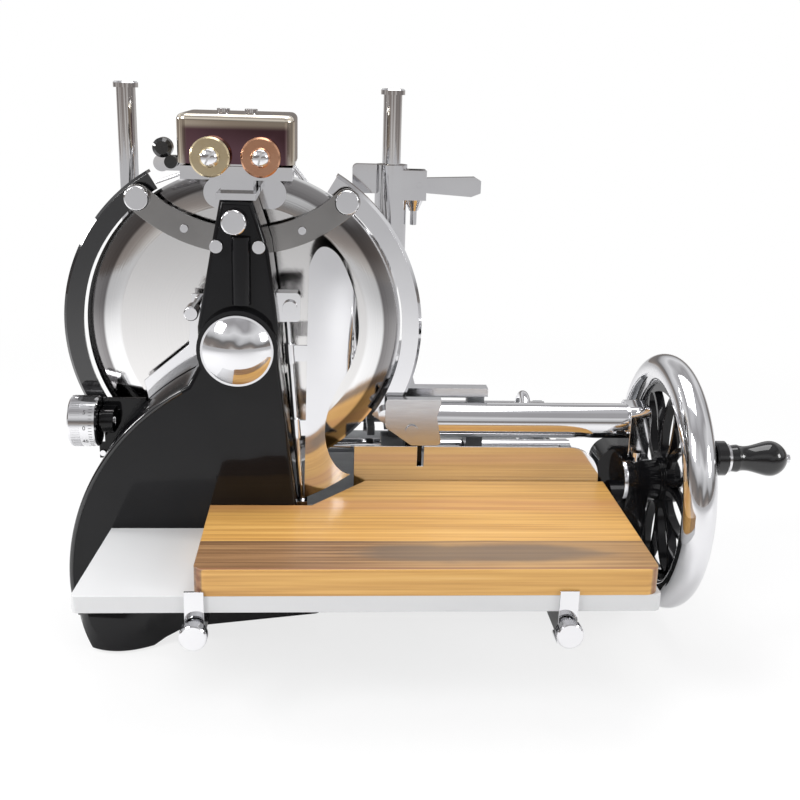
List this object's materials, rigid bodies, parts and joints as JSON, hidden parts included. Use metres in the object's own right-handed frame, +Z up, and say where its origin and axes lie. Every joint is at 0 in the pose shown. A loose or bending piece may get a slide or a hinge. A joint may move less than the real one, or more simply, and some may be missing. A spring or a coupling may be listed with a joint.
{
  "type": "hand crank meat slicer",
  "caption": "Hand crank meat slicer: a flywheel drives an upright round knife through gears and a chain, with a sliding carriage, meat clamp, sharpener and slice board.",
  "frame": {"origin": "on the table the feet stand on, at the centre of the four pedestal bolts under the base", "axes": "+X from the knife towards the flywheel, along the crank axis; +Y away from the operator, along the knife's axis; +Z up"},
  "size_m": [0.717, 0.4988, 0.552],
  "materials": {
    "black_enamel": "black gloss enamel",
    "grey_casting": "grey enamelled casting",
    "chrome_plate": "polished chrome plate",
    "polished_steel": "mirror polished stainless steel",
    "brushed_steel": "brushed stainless steel",
    "gear_steel": "machined gear steel",
    "bronze": "machined bronze",
    "black_grip": "glossy black plastic",
    "maple_wood": "oiled hardwood planks",
    "white_plastic": "white cutting board plastic",
    "rubber": "black rubber",
    "brass_stone": "cream brass button",
    "copper_stone": "copper coloured button"
  },
  "bodies": {
    "frame": {"base_casting": "black_enamel", "base_deck": "grey_casting", "rubber_feet": "rubber", "front_casting": "black_enamel", "column_back_plate": "black_enamel", "dome_cap": "chrome_plate", "knife_cover_plate": "polished_steel", "drive_chain": "brushed_steel", "black_ring_guard": "black_enamel", "chrome_ring_guard": "chrome_plate", "guard_yoke": "brushed_steel", "guard_knobs": "chrome_plate", "guard_bracket": "brushed_steel", "wood_board": "maple_wood", "white_board": "white_plastic", "board_arms": "grey_casting", "board_clips": "chrome_plate", "backsplash": "polished_steel", "guide_tube": "chrome_plate", "tube_carrier": "black_enamel", "tube_bracket": "chrome_plate", "right_arm": "black_enamel", "gear_case_cover": "black_enamel", "bronze_bushes": "bronze", "slide_rails": "chrome_plate", "dial_bracket": "black_enamel", "sharpener_base": "chrome_plate", "sharpener_cover": "chrome_plate", "deflector_rod": "chrome_plate", "scraper": "chrome_plate", "small_screws": "brushed_steel"},
    "flywheel": {"flywheel_rim": "chrome_plate", "flywheel_spider": "black_enamel", "flywheel_shaft": "brushed_steel", "handle_pin": "chrome_plate"},
    "crank_grip": {"handle_grip": "black_grip", "grip_caps": "chrome_plate"},
    "idler": {"idler_gear": "gear_steel"},
    "drive_line": {"drive_gear": "gear_steel", "drive_shaft": "brushed_steel", "bevel_wheel": "gear_steel"},
    "cross_line": {"cross_shaft": "brushed_steel"},
    "blade": {"knife": "polished_steel", "knife_shaft": "brushed_steel"},
    "carriage": {"carriage_frame": "grey_casting", "carriage_bushes": "bronze", "meat_table": "polished_steel"},
    "feed": {"post_carrier": "grey_casting", "clamp_posts": "chrome_plate"},
    "feed_wheel": {"feed_handwheel": "chrome_plate"},
    "clamp": {"clamp_bar": "chrome_plate"},
    "lever": {"clamp_lever": "chrome_plate"},
    "dial": {"thickness_dial": "chrome_plate"},
    "grinder": {"grinding_stone": "brass_stone"},
    "honer": {"honing_stone": "copper_stone"},
    "lock": {"lock_lever": "black_grip"},
    "slice_deflector": {"deflector": "polished_steel"},
    "left_clip_screw": {"clip_screw_left": "chrome_plate"},
    "right_clip_screw": {"clip_screw_right": "chrome_plate"}
  },
  "joints": [
    {"name": "flywheel_spin", "type": "hinge", "parent": "frame", "child": "flywheel", "pos_m": [0.318, -0.098, 0.159], "axis": [1, 0, 0], "continuous": true},
    {"name": "grip_spin", "type": "hinge", "parent": "flywheel", "child": "crank_grip", "pos_m": [0.378, -0.19003, 0.2174], "axis": [1, 0, 0], "continuous": true},
    {"name": "idler_spin", "type": "hinge", "parent": "frame", "child": "idler", "pos_m": [0.287, -0.07736, 0.11901], "axis": [1, 0, 0], "continuous": true},
    {"name": "drive_spin", "type": "hinge", "parent": "frame", "child": "drive_line", "pos_m": [0.287, -0.04984, 0.0657], "axis": [1, 0, 0], "continuous": true},
    {"name": "cross_spin", "type": "hinge", "parent": "frame", "child": "cross_line", "pos_m": [-0.125, -0.1, 0.0657], "axis": [0, 1, 0], "continuous": true},
    {"name": "knife_spin", "type": "hinge", "parent": "frame", "child": "blade", "pos_m": [-0.125, -0.07, 0.315], "axis": [0, 1, 0], "continuous": true},
    {"name": "carriage_slide", "type": "slide", "parent": "frame", "child": "carriage", "axis": [1, 0, 0], "range_m": [-0.06, 0.16]},
    {"name": "feed_wheel_turn", "type": "hinge", "parent": "carriage", "child": "feed_wheel", "pos_m": [0.198, 0.085, 0.168], "axis": [1, 0, 0], "range_deg": [-393.94, 82.4]},
    {"name": "feed_slide", "type": "slide", "parent": "carriage", "child": "feed", "axis": [0, 1, 0], "range_m": [-0.023, 0.11]},
    {"name": "clamp_slide", "type": "slide", "parent": "feed", "child": "clamp", "axis": [0, 0, 1], "range_m": [-0.08, 0.06]},
    {"name": "clamp_lever_turn", "type": "hinge", "parent": "clamp", "child": "lever", "pos_m": [0.054, 0.005, 0.455], "axis": [0, -1, 0], "range_deg": [0, 35]},
    {"name": "dial_turn", "type": "hinge", "parent": "frame", "child": "dial", "pos_m": [-0.283, -0.1045, 0.223], "axis": [1, 0, 0], "range_deg": [0, 300]},
    {"name": "grinder_push", "type": "slide", "parent": "frame", "child": "grinder", "axis": [0, 1, 0], "range_m": [0, 0.006], "stiffness_N_per_m": 400, "springref_m": -0.002},
    {"name": "honer_pull", "type": "slide", "parent": "frame", "child": "honer", "axis": [0, 1, 0], "range_m": [-0.005, 0], "stiffness_N_per_m": 400, "springref_m": 0.002},
    {"name": "lock_turn", "type": "hinge", "parent": "frame", "child": "lock", "pos_m": [-0.187, -0.12, 0.483], "axis": [0, -1, 0], "range_deg": [0, 60]},
    {"name": "deflector_swing", "type": "hinge", "parent": "frame", "child": "slice_deflector", "pos_m": [-0.0664, -0.128, 0.156], "axis": [0.0748, 0, -0.9972], "range_deg": [0, 50]},
    {"name": "left_clip_turn", "type": "hinge", "parent": "frame", "child": "left_clip_screw", "pos_m": [-0.154, -0.315, 0.098], "axis": [0, 1, 0], "continuous": true},
    {"name": "right_clip_turn", "type": "hinge", "parent": "frame", "child": "right_clip_screw", "pos_m": [0.175, -0.315, 0.098], "axis": [0, 1, 0], "continuous": true}
  ],
  "couplings": [
    {"joint": "idler_spin", "follows": "flywheel_spin", "ratio": -0.5},
    {"joint": "drive_spin", "follows": "flywheel_spin", "ratio": 0.5},
    {"joint": "cross_spin", "follows": "flywheel_spin", "ratio": -1},
    {"joint": "knife_spin", "follows": "flywheel_spin", "ratio": -1.6923},
    {"joint": "feed_wheel_turn", "follows": "feed_slide", "rad_per_m": -62.5}
  ]
}
